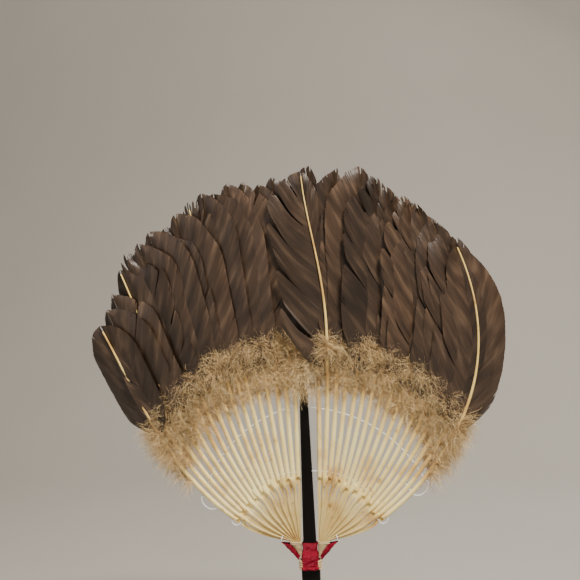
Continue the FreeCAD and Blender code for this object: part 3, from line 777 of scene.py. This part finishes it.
def neck_cover(side, hem):
    """The creased strip round the front, side -1, or the back, side 1, of the neck."""
    face = "front" if side < 0 else "back"
    low, high = (Vector(c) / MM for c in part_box(f"{face}_cover"))
    t, a = np.meshgrid(np.linspace(0, 1, 60), np.linspace(-1, 1, 64), indexing="ij")
    deep = np.interp(t, COVER_PLACES, COVER_DEPTHS)
    half = np.interp(t, COVER_WIDTH_PLACES, COVER_HALF_WIDTHS)
    bow = np.sign(a) * np.abs(a) ** 0.92
    x = half * np.sin(bow * NECK_ARC) / math.sin(NECK_ARC)
    y = side * deep * np.maximum(0.0, 1 - np.abs(a) ** 5) ** 0.6
    z = high.z + (low.z - high.z) * t
    crease = smooth_noise(a * 2.2 + t * 2.2, t * 7 + a, 31 + side)
    crease += 0.4 * smooth_noise(a * 5 - t * 3, t * 13 + a * 2, 47 + side)
    y += side * (0.6 * crease - 0.25)
    x += 0.25 * smooth_noise(a * 4, t * 8, 53 + side)
    grid = np.stack([x, y, z], -1)
    cloth_piece(f"{face}_cover_cloth", grid, "red_cloth", f"{face}_cover")


def rolled_hem(side):
    """The bright twisted roll along the cover's lower edge."""
    rows, columns = 90, 20
    low, high = (Vector(c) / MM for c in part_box("cover_hems"))
    radius = (high.z - low.z) / 2
    a, t = np.meshgrid(np.linspace(-1, 1, rows), once_round(columns), indexing="ij")
    middle_x = HEM_HALF_WIDTH * np.sin(a * NECK_ARC) / math.sin(NECK_ARC)
    middle_y = side * (high.y - radius - 0.6) * np.maximum(0.0, 1 - np.abs(a) ** 4) ** 0.5
    twist = 0.18 * np.cos(2 * t + a * 9) + 0.12 * smooth_noise(a * 12, t * 0.9, 61 + side)
    size = radius * (0.86 + twist) * (1 - 0.35 * np.abs(a) ** 6)
    x = middle_x + 0.2 * np.cos(t)
    y = middle_y + side * size * np.cos(t)
    z = (low.z + high.z) / 2 + size * np.sin(t) * 1.05
    points = np.stack([x, y, z], -1).reshape(-1, 3)
    index = np.arange(rows * columns).reshape(rows, columns)
    around = np.roll(index, -1, 1)
    faces = np.stack([index[:-1], around[:-1], around[1:], index[1:]], -1).reshape(-1, 4).tolist()
    faces += [index[0].tolist(), index[-1][::-1].tolist()]
    piece = make_piece("front_hem" if side < 0 else "back_hem", points, faces, "red_cloth")
    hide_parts("cover_hems")
    return piece


def gusset_cloth(bank, pocket):
    """The sling outside one cup: a cloth folded in two along its lower edge."""
    sign = BANKS[bank]["sign"]
    outer_top, inner_top, inner_low, outer_low = (np.array(p) for p in GUSSET)
    t, a = np.meshgrid(np.linspace(0, 1, 50), np.linspace(-1, 1, 41), indexing="ij")
    down = t[..., None]
    fold = outer_top + (outer_low - outer_top) * down
    upper = np.clip(down / GUSSET_RIM, 0, 1)
    lower = np.clip((down - GUSSET_RIM) / (1 - GUSSET_RIM), 0, 1)
    rim = outer_top + (inner_top - outer_top) * upper + (inner_low - inner_top) * lower
    share = (np.abs(a) ** 1.1)[..., None]
    plane = fold + (rim - fold) * share
    belly = 0.35 + 0.65 * np.sin(math.pi * np.clip(t, 0.06, 0.9))
    depth = GUSSET_DEPTH * np.sqrt(np.clip(1 - (1 - np.abs(a)) ** 3, 0, 1)) * np.sign(a) * belly
    crease = smooth_noise(a * 3 + t * 5, t * 9, 71 + sign)
    crease = crease + 0.5 * smooth_noise(a * 7, t * 18 + a, 77 + sign)
    x = sign * (plane[..., 0] + 0.3 * crease)
    y = depth + 0.45 * crease * np.sign(a) * share[..., 0]
    z = FAN_Z + plane[..., 1] + 0.35 * smooth_noise(a * 4, t * 7, 83 + sign)
    grid = np.stack([x, y, z], -1)
    cloth_piece(f"{bank}_gusset_cloth", grid, "red_cloth", f"{bank}_gusset")


def cup_cloth(bank):
    """The creased pocket that takes one bank's tongues, narrow at its foot."""
    sign = BANKS[bank]["sign"]
    t, a = np.meshgrid(np.linspace(0, 1, 44), once_round(72), indexing="ij")
    outer = CUP_OUTER - 9.0 * t**1.05
    x = (CUP_NEAR + outer) / 2 + (outer - CUP_NEAR) / 2 * np.sign(np.cos(a)) * np.abs(np.cos(a)) ** 0.6
    y = (3.3 - 1.1 * t) * np.sign(np.sin(a)) * np.abs(np.sin(a)) ** 0.7
    crease = smooth_noise(x / 2.6 + t * 1.5, t * 4 + np.sign(y), 91 + sign)
    y += 0.35 * crease * np.sign(y) * (1 - t**3)
    uneven = 0.35 * smooth_noise(np.cos(a) * 2, np.sin(a) * 2, 95 + sign) * (1 - t)
    z = FAN_Z + CUP_TOP - CUP_HEIGHT * t + uneven
    grid = np.stack([sign * (x + 0.2 * crease * np.cos(a)), y, z], -1)
    return cloth_piece(f"{bank}_cup_cloth", grid, "tan_cloth", f"{bank}_cup",
                       closed=True)


# ---- The scene ----

VIEW_DISTANCE = 1150.0
VIEW_WIDTH = 539.0
VIEW_CENTRE = (-8.4, 0.0, FAN_Z + 243.6)
VIEW_AZIMUTH, VIEW_ELEVATION, VIEW_ROLL = 6.0, 4.0, 2.5


def make_camera():
    """The main view of the fan, a little from its right and from above."""
    data = bpy.data.cameras.new("camera")
    camera = bpy.data.objects.new("camera", data)
    bpy.context.scene.collection.objects.link(camera)
    data.sensor_width = 36.0
    data.lens = data.sensor_width * VIEW_DISTANCE / VIEW_WIDTH
    data.clip_start = 0.01
    azimuth, elevation = math.radians(VIEW_AZIMUTH), math.radians(VIEW_ELEVATION)
    flat = math.cos(elevation)
    back = Vector((math.sin(azimuth) * flat, -math.cos(azimuth) * flat, math.sin(elevation)))
    place = (Vector(VIEW_CENTRE) + back * VIEW_DISTANCE) * MM
    turn = back.to_track_quat("Z", "Y").to_matrix().to_4x4()
    roll = Matrix.Rotation(math.radians(-VIEW_ROLL), 4, "Z")
    camera.matrix_world = Matrix.Translation(place) @ turn @ roll
    bpy.context.scene.camera = camera


def make_light(name, place, target, size, power, colour):
    """A round area light. Its place, its target and its size are in metres."""
    data = bpy.data.lights.new(name, "AREA")
    data.shape = "DISK"
    data.size = size
    data.energy = power
    data.color = colour
    light = bpy.data.objects.new(name, data)
    bpy.context.scene.collection.objects.link(light)
    aim = (Vector(place) - Vector(target)).to_track_quat("Z", "Y")
    light.matrix_world = Matrix.Translation(Vector(place)) @ aim.to_matrix().to_4x4()


def make_stage():
    """A pale floor under the fan that curves up into a backdrop far behind it, in metres."""
    floor_z = CAD_BOX[0][2]
    near, back, bend, wide, high = -2.5, 1.6, 0.7, 4.0, 3.0
    steps = 12
    line = [(near, 0.0), (back - bend, 0.0)]
    for n in range(1, steps):
        a = math.pi / 2 * n / steps
        line.append((back - bend + bend * math.sin(a), bend - bend * math.cos(a)))
    line += [(back, bend), (back, high)]
    points = []
    for y, z in line:
        points += [(-wide, y, floor_z + z), (wide, y, floor_z + z)]
    faces = [(2 * n, 2 * n + 1, 2 * n + 3, 2 * n + 2) for n in range(len(line) - 1)]
    mesh = bpy.data.meshes.new("floor")
    mesh.from_pydata(points, [], faces)
    mesh.shade_smooth()
    s = Shading("floor")
    colour = s.ramp(s.noise(3.0, 2.0), [(0.0, (0.35, 0.325, 0.29)), (1.0, (0.39, 0.365, 0.325))])
    mesh.materials.append(s.finish(colour, 0.9))
    floor = bpy.data.objects.new("floor", mesh)
    bpy.context.scene.collection.objects.link(floor)


def make_lights():
    target = (0.0, 0.0, 0.30)
    make_light("key", (0.60, -0.92, 1.75), target, 0.40, 72.0, (1.0, 0.94, 0.85))
    make_light("fill", (-1.4, -1.3, 0.7), target, 1.2, 7.0, (1.0, 0.96, 0.92))
    make_light("rim", (0.5, 1.1, 1.3), target, 0.8, 14.0, (1.0, 0.97, 0.94))
    world = bpy.data.worlds.new("world")
    world.use_nodes = True
    sky = world.node_tree.nodes["Background"]
    sky.inputs["Color"].default_value = (0.95, 0.93, 0.90, 1.0)
    sky.inputs["Strength"].default_value = 0.20
    bpy.context.scene.world = world


def dress_frame():
    """Gives each part of the design that stays in sight its material."""
    for entry in frame["record"]["subparts"]:
        node = NODES[entry["node"]]
        node.data.materials.clear()
        finish = "pale_quill" if entry["node"] in PALE_SHAFTS else entry["material_slot"]
        node.data.materials.append(MATERIALS[finish])


make_camera()
make_stage()
make_lights()
dress_frame()
for bank_name in BANKS:
    for number in range(FEATHERS):
        feather_web(bank_name, number)
        down_tuft(bank_name, number)
    gusset_cloth(bank_name, cup_cloth(bank_name))
middle_curls()
for facing in (-1, 1):
    neck_cover(facing, rolled_hem(facing))
